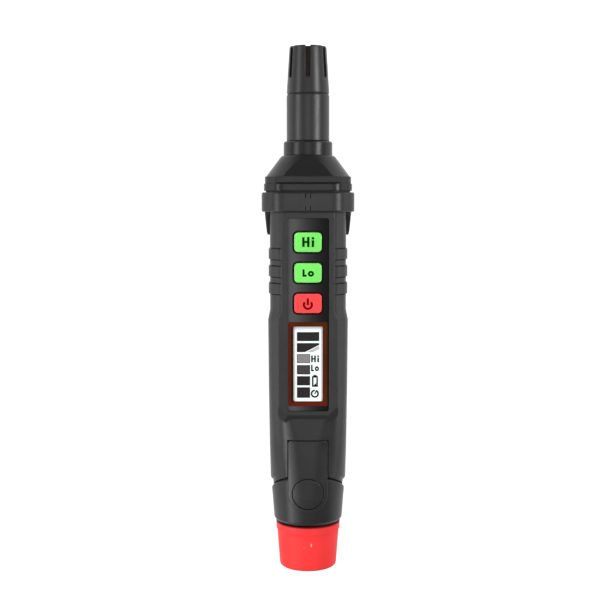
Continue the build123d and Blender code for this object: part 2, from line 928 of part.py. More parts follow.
def neck_tube():
    """Slim tube with a plug that enters the nose and a seat for the crown."""
    groove = neck_start - seal_distance
    groove_half = seal_groove_width / 2
    neck_end = crown_start - crown_seam_gap
    return turned([
        (neck_bore, neck_start - neck_plug_length),
        (neck_plug_radius, neck_start - neck_plug_length),
        (neck_plug_radius, groove - groove_half),
        (seal_groove_radius, groove - groove_half),
        (seal_groove_radius, groove + groove_half),
        (neck_plug_radius, groove + groove_half),
        (neck_plug_radius, neck_start),
        (neck_radius - neck_edge, neck_start),
        (neck_radius, neck_start + neck_edge),
        (neck_radius, neck_end - neck_edge),
        (neck_radius - neck_edge, neck_end),
        (neck_radius - crown_seam_depth, neck_end),
        (neck_radius - crown_seam_depth, crown_start),
        (crown_low_bore - fit_gap, crown_start),
        (crown_low_bore - fit_gap, crown_plug_end),
        (neck_bore, crown_plug_end),
    ])


def neck_seal():
    """Ring seal on the neck's plug, between the groove's floor and the nose's bore."""
    radius = seal_groove_radius + fit_gap + seal_section_radius
    centre = (0, along(neck_start - seal_distance), axis_height)
    return Pos(*centre) * Rot(90, 0, 0) * Torus(radius, seal_section_radius)


def sensor_cap():
    """Tapered crown with slots that are open at the tip."""
    seat_end = crown_plug_end + crown_seat_length
    solid = turned([
        (crown_low_bore, crown_start),
        (crown_base_radius - crown_base_edge, crown_start),
        (crown_base_radius, crown_start + crown_base_edge),
        (crown_top_radius, overall_length),
        (crown_top_bore, overall_length),
        (crown_top_bore, seat_end),
        (crown_low_bore, seat_end),
    ])
    solid = fillet(top_edge(solid), crown_edge_radius)
    low = overall_length - slot_length + slot_width / 2
    above = crown_base_radius + overrun
    cutter = block(slot_width / 2, low, overall_length + overrun, 0, above)
    cutter = cutter + post(slot_width / 2, 0, low, 0, above)
    for index in range(slot_count):
        solid = solid - cutter.rotate(pen_axis, index * 360 / slot_count)
    return solid


def sensor_screen():
    """Cup-shaped dust screen inside the crown, which stands on the sensor's flange."""
    cup = disc(screen_radius, sensor_flange_end, screen_station)
    cup = fillet(top_edge(cup), screen_edge_radius)
    return cup - disc(screen_bore, sensor_flange_end - overrun, screen_station - screen_thickness)


def sensor_board():
    """Round board that sits on the neck tube."""
    return disc(crown_low_bore - fit_gap, crown_plug_end, sensor_start)


def gas_sensor():
    """Sensor can with a flange on its board side."""
    flange = disc(sensor_radius + sensor_flange_stand, sensor_start, sensor_flange_end)
    return flange + disc(sensor_radius, sensor_start, sensor_end)


def sensor_leads():
    """Three wires from the end of the main board, down to the axis and through the neck."""
    start_level = board_top - board_thickness / 2
    course = [(board_end, start_level), (housing_end, start_level), (neck_ring_start, 0), (crown_plug_end, 0)]
    wires = []
    for index in range(lead_count):
        x = (index - (lead_count - 1) / 2) * lead_spacing
        points = [(x, along(station), up(level)) for station, level in course]
        path = FilletPolyline(*points, radius=lead_bend_radius)
        wire = sweep(Plane(origin=path @ 0, z_dir=path % 0) * Circle(lead_radius), path=path)
        wires.append(wire.solid())
    return Compound(children=wires)


def panel_lens():
    """Glossy panel with key holes, the display window and a seat for its frame."""
    solid = raised(panel_outline(), panel_low, panel_top)
    above = panel_top + overrun
    for index in range(key_count):
        solid = solid - raised(key_outline(index, key_gap), panel_low - overrun, above)
    window = display_outline(window_half, window_length, window_corner)
    solid = solid - raised(window, panel_low - overrun, above)
    seat = display_outline(bezel_half + panel_gap, bezel_length + 2 * panel_gap, window_corner)
    return solid - raised(seat, panel_top - bezel_thickness, above)


def lcd_bezel():
    """Flush frame round the display window."""
    frame = display_outline(bezel_half, bezel_length, window_corner)
    opening = display_outline(window_half, window_length, window_corner)
    return raised(frame - opening, panel_top - bezel_thickness, panel_top)


def lcd_glass():
    """Display sandwich whose raised middle fills the window from below."""
    base = raised(display_outline(glass_half, glass_length, glass_corner), glass_low, panel_low)
    step_length = window_length - 2 * glass_window_gap
    step = display_outline(window_half - glass_window_gap, step_length, window_corner)
    return base + raised(step, panel_low - overlap, panel_top - glass_drop)


def lcd_backlight():
    """Light guide behind the display."""
    length = glass_length - 2 * backlight_margin
    outline = display_outline(glass_half - backlight_margin, length, glass_corner)
    return raised(outline, backlight_low, glass_low)


def lcd_connectors():
    """Two contact strips between board and display."""
    low = display_station - connector_length / 2
    strips = []
    for side in (-1, 1):
        strip = block(connector_width / 2, low, low + connector_length, board_top, backlight_low,
                      side * connector_offset)
        strips.append(strip.solid())
    return Compound(children=strips)


def key(index):
    """Key with a retaining flange under the front shell's floor."""
    cap = raised(key_outline(index), key_low, key_top)
    cap = fillet(cap.faces().sort_by(Axis.Z)[-1].edges(), key_edge_radius)
    return cap + raised(key_outline(index, 0, key_flange_reach), key_low, key_flange_top)


def key_switch(index):
    """Square switch with a round plunger under a key."""
    centre = key_station(index)
    half = switch_size / 2
    body = block(half, centre - half, centre + half, board_top, switch_top)
    return body + post(plunger_radius, 0, centre, switch_top - overlap, plunger_top)


def main_board():
    """Board with notches for the housing bosses and holes for its own screws."""
    solid = block(board_half, board_start, board_end, board_bottom, board_top)
    low = board_bottom - overrun
    high = board_top + overrun
    notch_half = boss_radius + slide_gap
    for x, station in screw_places():
        solid = solid - post(notch_half, x, station, low, high)
        edge = (board_half + overrun) * (1 if x > 0 else -1)
        solid = solid - block(abs(edge - x) / 2, station - notch_half, station + notch_half, low, high,
                              (edge + x) / 2)
    for station in board_screw_stations:
        solid = solid - post(screw_radius + screw_hole_gap, 0, station, low, high)
    return solid


def control_chip():
    """Flat processor under the board."""
    half = chip_size / 2
    return block(half, chip_station - half, chip_station + half, board_bottom - chip_thickness, board_bottom)


def buzzer():
    """Round sounder under the board with a central sound hole."""
    low = board_bottom - buzzer_length
    can = post(buzzer_radius, 0, buzzer_station, low, board_bottom)
    return can - post(buzzer_hole_radius, 0, buzzer_station, low - overrun, low + buzzer_hole_depth)


def battery_tray():
    """Carrier for the two cells, closed at its inner end."""
    start = bay_end_station + tray_start_gap
    return across(stadium(tray_outer_radius), start, tray_end) - across(
        stadium(tray_inner_radius), start - overrun, contact_wall)


def cell(side, nub_up):
    """AAA cell with its raised terminal towards the tip or the tail."""
    x = side * cell_pitch / 2
    start = cell_start
    end = cell_end
    if nub_up:
        end = cell_end - cell_nub_length
    else:
        start = cell_start + cell_nub_length
    body = rod(cell_radius, x, cell_level, start, end)
    return chamfer(body.edges(), cell_edge) + rod(cell_nub_radius, x, cell_level, cell_start, cell_end)


def contact_springs():
    """Two bent leaf contacts between the tray's end and the cells."""
    half = contact_width / 2
    contacts = []
    for side in (-1, 1):
        outer = [(contact_wall, half), (cell_end, contact_tip_half)]
        inner = [(contact_wall - contact_thickness, half - contact_side),
                 (cell_end + contact_thickness, contact_tip_inner_half)]
        leaf = None
        for course in (outer, inner):
            mirror = [(station, -rise) for station, rise in reversed(course)]
            points = [(station, cell_level + rise) for station, rise in course + mirror]
            prism = sideways(points, half)
            leaf = prism if leaf is None else leaf - prism
        contacts.append((Pos(side * cell_pitch / 2, 0, 0) * leaf).solid())
    return Compound(children=contacts)


def bridge_contact():
    """Plate that joins the two cells at the tail end."""
    return across(stadium(cell_radius - bridge_margin), plug_end_station, cell_start)


def battery_cap():
    """Sleeve with the front tongue, the plug for the bay and the neck for the tail cap."""
    sleeve = seam_side(barrel(), seam_station, Keep.BOTTOM)
    sleeve = fillet(sleeve.faces().sort_by(Axis.Y)[-1].edges(), sleeve_edge_radius)
    hollow = barrel(cap_wall) & block(collar_half, cap_floor_station, housing_end, -axis_height, axis_height)
    counterbore = disc(lip_radius + slide_gap, cap_floor_station, bay_end_station + lip_root)
    counterbore = seam_side(counterbore, seam_station + seam_gap - lip_length - lip_end_gap, Keep.TOP)
    plug = across(stadium(plug_radius), cap_floor_station - overrun, plug_end_station)
    groove = across(stadium(plug_radius + overrun) - stadium(plug_radius - cap_seal_depth),
                    cap_seal_station - cap_seal_width / 2, cap_seal_station + cap_seal_width / 2)
    neck_bore_radius = tail_neck_radius - tail_neck_wall
    neck = ring(tail_neck_radius, neck_bore_radius, tail_neck_start, cap_floor_station - overlap)
    tongue = raised(tongue_outline(), tongue_floor_level, axis_height) & barrel(-tongue_rise)
    tongue = fillet(tongue.edges().filter_by(Axis.Z).sort_by(Axis.Y)[-2:], tongue_corner)
    solid = sleeve - hollow - counterbore + tongue + (plug - groove)
    solid = solid - disc(neck_bore_radius, sleeve_start - overrun, cap_floor_station - cap_wall) + neck
    pocket = post(button_radius + button_gap, 0, button_station, pocket_floor, axis_height + overrun)
    pin_hole = post(button_pin_radius + slide_gap, 0, button_station, head_top, axis_height)
    return solid - pocket - pin_hole


def latch_button():
    """Round press button with a pin and a head that retains it."""
    cap = post(button_radius, 0, button_station, button_low, axis_height) & barrel(-tongue_rise)
    rim_edges = cap.faces().filter_by(GeomType.CYLINDER)[0].edges().filter_by(GeomType.BSPLINE)
    cap = fillet(rim_edges, button_edge_radius)
    pin = post(button_pin_radius, 0, button_station, head_top - overlap, button_low + overlap)
    head = post(button_head_radius, 0, button_station, head_top - button_head_thickness, head_top)
    return cap + pin + head


def latch_spring():
    """Dished washer between the pocket floor and the button."""
    outer = button_radius - washer_margin
    inner = button_pin_radius + washer_bore_gap
    section = [
        (outer, pocket_floor),
        (outer, pocket_floor + washer_thickness),
        (inner + washer_rim, button_low),
        (inner, button_low - washer_thickness),
    ]
    centre = (0, along(button_station), axis_height)
    upright = Plane(origin=centre, x_dir=(1, 0, 0), z_dir=(0, -1, 0))
    return revolve(upright * closed(section), axis=Axis(centre, (0, 0, 1)))


def cap_seal():
    """Seal in the plug's groove."""
    outline = stadium(plug_radius + cap_seal_stand) - stadium(plug_radius - cap_seal_depth + fit_gap)
    half = cap_seal_width / 2 - fit_gap
    return across(outline, cap_seal_station - half, cap_seal_station + half)


def tail_cap():
    """Red end cap: lip, tapered wall and rounded end."""
    step = tail_cap_length - tail_lip_length
    solid = turned([
        (0, 0),
        (tail_end_radius, 0),
        (tail_top_radius, step - tail_step_length),
        (tail_lip_radius - tail_step_inset, step),
        (tail_lip_radius, tail_cap_length - tail_lip_edge),
        (tail_lip_radius - tail_lip_edge, tail_cap_length),
        (0, tail_cap_length),
    ])
    solid = fillet(solid.faces().sort_by(Axis.Y)[0].edges(), tail_edge_radius)
    socket = disc(tail_neck_radius + fit_gap, tail_neck_start - slide_gap, tail_cap_length + overrun)
    return solid - socket - disc(tail_end_radius - tail_end_wall, tail_floor, tail_cap_length)


def housing_screws():
    """Four screws in the rear shell's posts."""
    screws = []
    for x, station in screw_places():
        head = post(screw_head_radius, x, station, housing_screw_seat - housing_screw_head_length,
                    housing_screw_seat)
        shank = post(screw_pilot_radius, x, station, housing_screw_seat - overlap,
                     housing_screw_seat + housing_screw_length)
        screws.append((head + shank).solid())
    return Compound(children=screws)


def board_screws():
    """Two screws that hold the board to the front shell's bosses."""
    screws = []
    end = board_bottom + board_screw_length
    for station in board_screw_stations:
        head = post(screw_head_radius, 0, station, board_bottom - board_screw_head_length, board_bottom)
        shank = post(screw_pilot_radius, 0, station, board_bottom - overlap, end)
        screws.append((head + shank).solid())
    return Compound(children=screws)


def all_parts():
    """Every sub-part by name."""
    return {
        "sensor_cap": sensor_cap(),
        "sensor_screen": sensor_screen(),
        "gas_sensor": gas_sensor(),
        "sensor_board": sensor_board(),
        "sensor_leads": sensor_leads(),
        "neck_tube": neck_tube(),
        "neck_seal": neck_seal(),
        "nose_cone": nose_cone(),
        "nose_gasket": nose_gasket(),
        "collar": collar(),
        "front_shell": front_shell(),
        "rear_shell": rear_shell(),
        "panel_lens": panel_lens(),
        "lcd_bezel": lcd_bezel(),
        "lcd_glass": lcd_glass(),
        "lcd_backlight": lcd_backlight(),
        "lcd_connectors": lcd_connectors(),
        "key_power": key(0),
        "key_lo": key(1),
        "key_hi": key(2),
        "switch_power": key_switch(0),
        "switch_lo": key_switch(1),
        "switch_hi": key_switch(2),
        "main_board": main_board(),
        "control_chip": control_chip(),
        "buzzer": buzzer(),
        "battery_tray": battery_tray(),
        "cell_left": cell(-1, True),
        "cell_right": cell(1, False),
        "contact_springs": contact_springs(),
        "bridge_contact": bridge_contact(),
        "battery_cap": battery_cap(),
        "latch_button": latch_button(),
        "latch_spring": latch_spring(),
        "cap_seal": cap_seal(),
        "tail_cap": tail_cap(),
        "housing_screws": housing_screws(),
        "board_screws": board_screws(),
    }


os.makedirs("parts", exist_ok=True)
for name, part in all_parts().items():
    export_step(part, f"parts/{name}.step")
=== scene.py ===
"""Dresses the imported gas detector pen: materials, legends, figures, marks, screws, lamps and camera."""

import math

import bmesh
import bpy
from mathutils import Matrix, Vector


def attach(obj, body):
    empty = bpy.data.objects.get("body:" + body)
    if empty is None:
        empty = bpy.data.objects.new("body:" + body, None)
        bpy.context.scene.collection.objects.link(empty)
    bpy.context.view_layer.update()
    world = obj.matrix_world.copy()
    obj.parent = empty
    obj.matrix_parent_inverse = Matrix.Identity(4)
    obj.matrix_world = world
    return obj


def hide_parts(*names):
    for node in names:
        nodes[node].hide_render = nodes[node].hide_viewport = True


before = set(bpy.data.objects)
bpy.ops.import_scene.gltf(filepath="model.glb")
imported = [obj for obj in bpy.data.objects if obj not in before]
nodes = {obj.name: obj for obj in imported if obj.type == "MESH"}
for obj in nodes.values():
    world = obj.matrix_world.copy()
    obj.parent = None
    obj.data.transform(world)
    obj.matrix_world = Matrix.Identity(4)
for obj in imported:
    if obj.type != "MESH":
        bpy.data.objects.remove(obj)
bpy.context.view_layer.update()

MM = 0.001
HALF_LENGTH = 95.0
AXIS_LEVEL = 14.5


def point(x, station, level):
    """Place in metres of a point in millimetres: x, distance from the tail end, height above the axis."""
    return Vector((x * MM, (station - HALF_LENGTH) * MM, (level + AXIS_LEVEL) * MM))


# Materials, with sizes in millimetres
NORMAL_SAMPLES = 4
EDGE_START = 0.9
EDGE_END = 0.995
# Reach and range of the painted shade in grooves and gaps, and the share of colour it leaves
HOLLOW_REACH = 0.8
HOLLOW_START = 0.3
HOLLOW_END = 0.8
HOLLOW_SHADE_SHARE = 0.45
CLOUD_SIZE = 9.0
SHEEN_SIZE = 4.0
SHEEN_SHARE = 0.05
GRAIN_DETAIL = 3.0
GRAIN_HEIGHT = 0.02

# Sockets of a mix node that hold its two colours, and the one that gives the mixed colour
FIRST_COLOUR = 6
SECOND_COLOUR = 7
MIXED_COLOUR = 2


def new_material(name, colour, roughness, gloss=0.5):
    """Material with a shader of one colour, roughness and gloss."""
    material = bpy.data.materials.new(name)
    material.use_nodes = True
    _, shader = parts_of(material)
    shader.inputs["Base Color"].default_value = (*colour, 1)
    shader.inputs["Roughness"].default_value = roughness
    shader.inputs["Specular IOR Level"].default_value = gloss
    return material


def parts_of(material):
    """Node tree and shader of a material."""
    return material.node_tree, material.node_tree.nodes["Principled BSDF"]


def colour_of(shader):
    """Output that gives a shader its colour."""
    return shader.inputs["Base Color"].links[0].from_socket


def noise(tree, size, detail=2.0, stretch=(1, 1, 1)):
    """Noise fixed to the part, with features of about a size in millimetres."""
    place = tree.nodes.new("ShaderNodeTexCoord")
    mapping = tree.nodes.new("ShaderNodeMapping")
    mapping.inputs["Scale"].default_value = stretch
    tree.links.new(place.outputs["Object"], mapping.inputs["Vector"])
    node = tree.nodes.new("ShaderNodeTexNoise")
    node.inputs["Scale"].default_value = 1 / (size * MM)
    node.inputs["Detail"].default_value = detail
    tree.links.new(mapping.outputs["Vector"], node.inputs["Vector"])
    return node.outputs["Fac"]


def spread(tree, value, low, high, start=0.3, end=0.7):
    """Value that goes from low to high while another goes from start to end."""
    node = tree.nodes.new("ShaderNodeMapRange")
    node.inputs["From Min"].default_value = start
    node.inputs["From Max"].default_value = end
    node.inputs["To Min"].default_value = low
    node.inputs["To Max"].default_value = high
    tree.links.new(value, node.inputs["Value"])
    return node.outputs["Result"]


def part_axis(tree, axis, kind="Object"):
    """Coordinate of the part along an axis, in metres, or of its normal."""
    place = tree.nodes.new("ShaderNodeTexCoord")
    parts = tree.nodes.new("ShaderNodeSeparateXYZ")
    tree.links.new(place.outputs[kind], parts.inputs[0])
    return parts.outputs[axis]


def across(tree, start, end, first=0, second=1):
    """Value that goes from first to second between two places in x, in millimetres."""
    return spread(tree, part_axis(tree, "X"), first, second, start * MM, end * MM)


def along(tree, start, end, first=0, second=1):
    """Value that goes from first to second between two stations, in millimetres."""
    place = part_axis(tree, "Y")
    return spread(tree, place, first, second, (start - HALF_LENGTH) * MM, (end - HALF_LENGTH) * MM)


def mixed(tree, factor, first, second):
    """Colour between two colours or colour outputs."""
    node = tree.nodes.new("ShaderNodeMix")
    node.data_type = "RGBA"
    tree.links.new(factor, node.inputs["Factor"])
    for socket, value in ((node.inputs[FIRST_COLOUR], first), (node.inputs[SECOND_COLOUR], second)):
        if isinstance(value, tuple):
            socket.default_value = (*value, 1)
        else:
            tree.links.new(value, socket)
    return node.outputs[MIXED_COLOUR]


def computed(tree, operation, first, second):
    """Value worked out from two others, each an output or a number."""
    node = tree.nodes.new("ShaderNodeMath")
    node.operation = operation
    for socket, value in zip(node.inputs, (first, second)):
        if isinstance(value, float):
            socket.default_value = value
        else:
            tree.links.new(value, socket)
    return node.outputs[0]


def rounded_normal(tree, radius):
    """Normal that is rounded at edges with a radius in millimetres."""
    bevel = tree.nodes.new("ShaderNodeBevel")
    bevel.samples = NORMAL_SAMPLES
    bevel.inputs["Radius"].default_value = radius * MM
    return bevel.outputs["Normal"]


def edge_mask(tree, normal):
    """Mask that is 1 where a rounded normal leaves the true one."""
    geometry = tree.nodes.new("ShaderNodeNewGeometry")
    dot = tree.nodes.new("ShaderNodeVectorMath")
    dot.operation = "DOT_PRODUCT"
    tree.links.new(normal, dot.inputs[0])
    tree.links.new(geometry.outputs["Normal"], dot.inputs[1])
    return spread(tree, dot.outputs["Value"], 1.0, 0.0, EDGE_START, EDGE_END)


def hollow_shade_mask(tree, reach):
    """Mask of painted shade: 1 deep in grooves and gaps, seen over a reach in millimetres."""
    shade = tree.nodes.new("ShaderNodeAmbientOcclusion")
    shade.samples = NORMAL_SAMPLES
    shade.inputs["Distance"].default_value = reach * MM
    return spread(tree, shade.outputs["AO"], 1.0, 0.0, HOLLOW_START, HOLLOW_END)


def plastic(name, colour, roughness, shade=0.12, grain=0.35, grain_size=0.35, edge=0.2, wear_and_highlight=1.35,
            gloss=0.5, soften=0.0):
    """Moulded plastic: cloudy colour and gloss, fine grain, edges painted paler as wear and as highlight, and
    painted shade in hollows when softened.
    """
    material = new_material(name, colour, roughness, gloss)
    tree, shader = parts_of(material)
    dark = tuple(channel * (1 - shade) for channel in colour)
    pale = tuple(min(channel * (1 + shade), 1) for channel in colour)
    # Edges are painted paler, partly as wear and partly as painted highlight
    rubbed_and_highlit = tuple(min(channel * wear_and_highlight, 1) for channel in colour)
    normal = rounded_normal(tree, edge)
    base = mixed(tree, spread(tree, noise(tree, CLOUD_SIZE), 0, 1), dark, pale)
    base = mixed(tree, edge_mask(tree, normal), base, rubbed_and_highlit)
    if soften:
        normal = rounded_normal(tree, soften)
        # Grooves and gaps get painted shade: a darker colour and less gloss
        hollow_shade = hollow_shade_mask(tree, HOLLOW_REACH)
        base = mixed(tree, hollow_shade, base, tuple(channel * HOLLOW_SHADE_SHARE for channel in colour))
        tree.links.new(spread(tree, hollow_shade, gloss, 0.0, 0.0, 1.0), shader.inputs["Specular IOR Level"])
    tree.links.new(base, shader.inputs["Base Color"])
    sheen = noise(tree, SHEEN_SIZE)
    smooth = roughness * (1 - SHEEN_SHARE)
    rough = roughness * (1 + SHEEN_SHARE)
    tree.links.new(spread(tree, sheen, smooth, rough), shader.inputs["Roughness"])
    bump = tree.nodes.new("ShaderNodeBump")
    bump.inputs["Strength"].default_value = grain
    bump.inputs["Distance"].default_value = GRAIN_HEIGHT * MM
    tree.links.new(noise(tree, grain_size, GRAIN_DETAIL), bump.inputs["Height"])
    tree.links.new(normal, bump.inputs["Normal"])
    tree.links.new(bump.outputs["Normal"], shader.inputs["Normal"])
    return material


def painted_shade_ramp(material, place, start, end, first, second, power=1.0):
    """Material with painted shade: its colour scaled from one share to another, across or along the part."""
    tree, shader = parts_of(material)
    base = colour_of(shader)
    share = computed(tree, "POWER", place(tree, start, end, first, second), power)
    scale = tree.nodes.new("ShaderNodeVectorMath")
    scale.operation = "SCALE"
    tree.links.new(base, scale.inputs[0])
    tree.links.new(share, scale.inputs["Scale"])
    tree.links.new(scale.outputs[0], shader.inputs["Base Color"])
    return material


# Upward share of the normal at a key's rim, painted paler as a highlight, and at its walls, painted dark as
# shade, and shares of roughness over a metal's lines
RIM_HIGHLIGHT_START = 0.80
RIM_HIGHLIGHT_END = 0.995
WALL_SHADE_START = 0.25
WALL_SHADE_END = 0.55
LINE_SMOOTH = 0.7
LINE_ROUGH = 1.4


def key_plastic(name, colour, rim_highlight, wall_shade):
    """Plastic of a key: a paler colour on its rounded rim as painted highlight and a dark one on its upright
    walls as painted shade.
    """
    material = plastic(name, colour, 0.35, shade=0.06, grain=0.1, gloss=0.3)
    tree, shader = parts_of(material)
    upward = part_axis(tree, "Z", "Normal")
    # Painted highlight on the rim, then painted shade on the walls
    base = mixed(tree, spread(tree, upward, 1, 0, RIM_HIGHLIGHT_START, RIM_HIGHLIGHT_END), colour_of(shader), rim_highlight)
    base = mixed(tree, spread(tree, upward, 1, 0, WALL_SHADE_START, WALL_SHADE_END), base, wall_shade)
    tree.links.new(base, shader.inputs["Base Color"])
    return material


def metal(name, colour, roughness, grain_size=0.4, stretch=(1, 8, 1)):
    """Metal with fine drawn or ground lines."""
    material = plastic(name, colour, roughness, shade=0.1, grain=0.4, grain_size=grain_size, edge=0.1,
                       wear_and_highlight=1.1)
    tree, shader = parts_of(material)
    shader.inputs["Metallic"].default_value = 1.0
    lines = noise(tree, grain_size, stretch=stretch)
    ground = spread(tree, lines, roughness * LINE_SMOOTH, roughness * LINE_ROUGH)
    tree.links.new(ground, shader.inputs["Roughness"])
    return material


def tail_mark_plastic(name, colour):
    """Plastic of a moulding mark on the tail; the paler mark's colour is a painted glint."""
    return plastic(name, colour, 0.4, shade=0.03, grain=0.1, gloss=0.3)


def print_ink(name, colour):
    """Matt print of the legends, also used for the painted shade round the keys."""
    return plastic(name, colour, 0.6, shade=0.1, grain=0.2, grain_size=0.2, edge=0.05, wear_and_highlight=1.0,
                   gloss=0.02)


def figure_ink(name, colour):
    """Printed figure of the display: dark and a little uneven."""
    return plastic(name, colour, 0.5, shade=0.15, grain=0.05, grain_size=1.5, edge=0.05, wear_and_highlight=1.0,
                   gloss=0.03)


# The panel darkens from its left to its right as painted shade, and the tail darkens where it enters the
# sleeve as the sleeve's painted shadow
PANEL_SHADE_START = -4.4
PANEL_SHADE_END = 6.6
TAIL_SHADOW_START = 16.3
TAIL_SHADOW_END = 16.9

body_black = plastic("body_black", (0.023, 0.023, 0.024), 0.36, edge=0.3, wear_and_highlight=2.4, gloss=0.27, soften=0.35)
cap_black = plastic("cap_black", (0.020, 0.020, 0.021), 0.36, edge=0.3, wear_and_highlight=2.6, gloss=0.27, soften=0.4)
neck_black = plastic("neck_black", (0.024, 0.024, 0.025), 0.34, shade=0.06, grain=0.15, wear_and_highlight=2.0,
                     gloss=0.32, soften=0.5)
nose_black = plastic("nose_black", (0.016, 0.016, 0.017), 0.30, shade=0.06, grain=0.15, wear_and_highlight=2.0,
                     gloss=0.24, soften=0.5)
# Painted shade: the panel darkens towards its right
panel_black = painted_shade_ramp(plastic("panel_black", (0.066, 0.066, 0.070), 0.24, shade=0.08, grain=0.05, edge=0.1,
                            wear_and_highlight=1.1, gloss=0.08),
                    across, PANEL_SHADE_START, PANEL_SHADE_END, first=1.0, second=0.2, power=2.4)
# Painted shadow: the tail darkens where it enters the sleeve
tail_red = painted_shade_ramp(plastic("tail_red", (0.93, 0.045, 0.045), 0.48, shade=0.03, grain=0.2, grain_size=0.3,
                         wear_and_highlight=1.0, gloss=0.12),
                 along, TAIL_SHADOW_START, TAIL_SHADOW_END, first=1.0, second=0.08)
key_green = key_plastic("key_green", (0.17, 0.78, 0.115), rim_highlight=(0.52, 0.97, 0.40), wall_shade=(0.006, 0.10, 0.004))
key_red = key_plastic("key_red", (0.88, 0.045, 0.047), rim_highlight=(0.96, 0.20, 0.18), wall_shade=(0.14, 0.004, 0.004))
# The paler mark's colour is a painted glint
mark_glint = tail_mark_plastic("mark_glint", (0.95, 0.42, 0.38))
mark_faint = tail_mark_plastic("mark_faint", (0.80, 0.10, 0.09))
rubber = plastic("rubber", (0.014, 0.014, 0.014), 0.6, shade=0.1, grain=0.5, grain_size=0.25, edge=0.1,
                 wear_and_highlight=1.1, gloss=0.3)
board_green = plastic("board_green", (0.025, 0.14, 0.06), 0.35, shade=0.15, grain=0.2, grain_size=1.2,
                      edge=0.1, wear_and_highlight=1.1)
component = plastic("component", (0.022, 0.022, 0.024), 0.5, shade=0.1, grain=0.5, grain_size=0.2,
                    edge=0.1, wear_and_highlight=1.2)
jacket = plastic("jacket", (0.5, 0.04, 0.03), 0.45, shade=0.06, grain=0.2, grain_size=0.3, edge=0.1,
                 wear_and_highlight=1.1)
cell_wrap = plastic("cell_wrap", (0.05, 0.07, 0.14), 0.3, shade=0.1, grain=0.1, grain_size=0.6, edge=0.1,
                    wear_and_highlight=1.2)
ink = print_ink("ink", (0.001, 0.025, 0.001))
ink_red = print_ink("ink_red", (0.15, 0.001, 0.002))
# Painted shade round the keys' holes, tinted with each key's colour
key_shade_green = print_ink("key_shade_green", (0.001, 0.014, 0.001))
key_shade_red = print_ink("key_shade_red", (0.035, 0.001, 0.001))
screen = metal("screen", (0.075, 0.060, 0.054), 0.6, grain_size=0.25, stretch=(1, 1, 1))
steel = metal("steel", (0.35, 0.34, 0.33), 0.35)
contact = metal("contact", (0.72, 0.67, 0.55), 0.3)
screw = metal("screw", (0.42, 0.42, 0.43), 0.35, grain_size=0.2, stretch=(1, 1, 1))

# Tints of the display and its frame: a dark strip of painted shade left of the window, a redder left side and
# foot of the frame, and greyer edges of the display, the left and upper ones painted shadow of the frame,
# each from one place to another in x or station
SHADE_STRIP_LEFT = (-6.15, -5.95)
SHADE_STRIP_RIGHT = (-5.2, -5.0)
SHADE_STRIP_TOP = (90.1, 90.4)
REDDER_LEFT = (-5.4, -4.6)
REDDER_FOOT = (63.0, 63.6)
FRAME_SHADOW_LEFT = (-5.4, -4.5)
GREYER_RIGHT = (4.5, 5.2)
FRAME_SHADOW_TOP = (89.1, 90.1)
DISPLAY_CLOUD_SIZE = 14.0
DISPLAY_SHEEN_SIZE = 3.0
DISPLAY_ROUGHNESS = (0.12, 0.18)
DISPLAY_GLOW = 0.07


def bezel_material():
    """Dark orange printed frame, redder at its left and lower sides, with painted shade: a dark strip left of
    the window and near-black inner walls.
    """
    material = plastic("bezel", (0.068, 0.014, 0.002), 0.4, shade=0.2, grain=0.05, grain_size=2.0,
                       edge=0.06, wear_and_highlight=1.15, gloss=0.05)
    tree, shader = parts_of(material)
    base = mixed(tree, across(tree, *REDDER_LEFT, 1, 0), colour_of(shader), (0.10, 0.012, 0.003))
    # Painted shade: a dark strip on the frame just left of the window
    sides = computed(tree, "MULTIPLY", across(tree, *SHADE_STRIP_LEFT), across(tree, *SHADE_STRIP_RIGHT, 1, 0))
    shade_strip = computed(tree, "MULTIPLY", sides, along(tree, *SHADE_STRIP_TOP, 1, 0))
    base = mixed(tree, shade_strip, base, (0.022, 0.006, 0.002))
    base = mixed(tree, along(tree, *REDDER_FOOT, 1, 0), base, (0.12, 0.010, 0.004))
    # Painted shade: the frame's upright walls darkened nearly to black
    bezel_wall_shade = spread(tree, part_axis(tree, "Z", "Normal"), 1, 0)
    tree.links.new(mixed(tree, bezel_wall_shade, base, (0.012, 0.003, 0.002)), shader.inputs["Base Color"])
    return material


def display_material():
    """Pale lit display with a faint tint, greyed along its left and upper edges by the frame's painted
    shadow, and greyer along its right edge.
    """
    material = new_material("display", (0.79, 0.87, 0.84), 0.15, gloss=0.3)
    tree, shader = parts_of(material)
    clouds = spread(tree, noise(tree, DISPLAY_CLOUD_SIZE), 0, 1)
    base = mixed(tree, clouds, (0.77, 0.87, 0.84), (0.83, 0.89, 0.87))
    # The frame's shadow is painted grey along the display's left and upper edges
    base = mixed(tree, across(tree, *FRAME_SHADOW_LEFT, 1, 0), base, (0.50, 0.45, 0.43))
    base = mixed(tree, along(tree, *FRAME_SHADOW_TOP), base, (0.45, 0.43, 0.44))
    base = mixed(tree, across(tree, *GREYER_RIGHT), base, (0.62, 0.58, 0.61))
    tree.links.new(base, shader.inputs["Base Color"])
    sheen = spread(tree, noise(tree, DISPLAY_SHEEN_SIZE), *DISPLAY_ROUGHNESS)
    tree.links.new(sheen, shader.inputs["Roughness"])
    tree.links.new(base, shader.inputs["Emission Color"])
    shader.inputs["Emission Strength"].default_value = DISPLAY_GLOW
    return material


bezel_orange = bezel_material()
display_white = display_material()
figure_dark = figure_ink("figure_dark", (0.026, 0.022, 0.023))
figure_black = figure_ink("figure_black", (0.002, 0.006, 0.004))
figure_grey = figure_ink("figure_grey", (0.235, 0.23, 0.225))
figure_glare = figure_ink("figure_glare", (0.48, 0.47, 0.47))
figure_dim = figure_ink("figure_dim", (0.060, 0.054, 0.053))

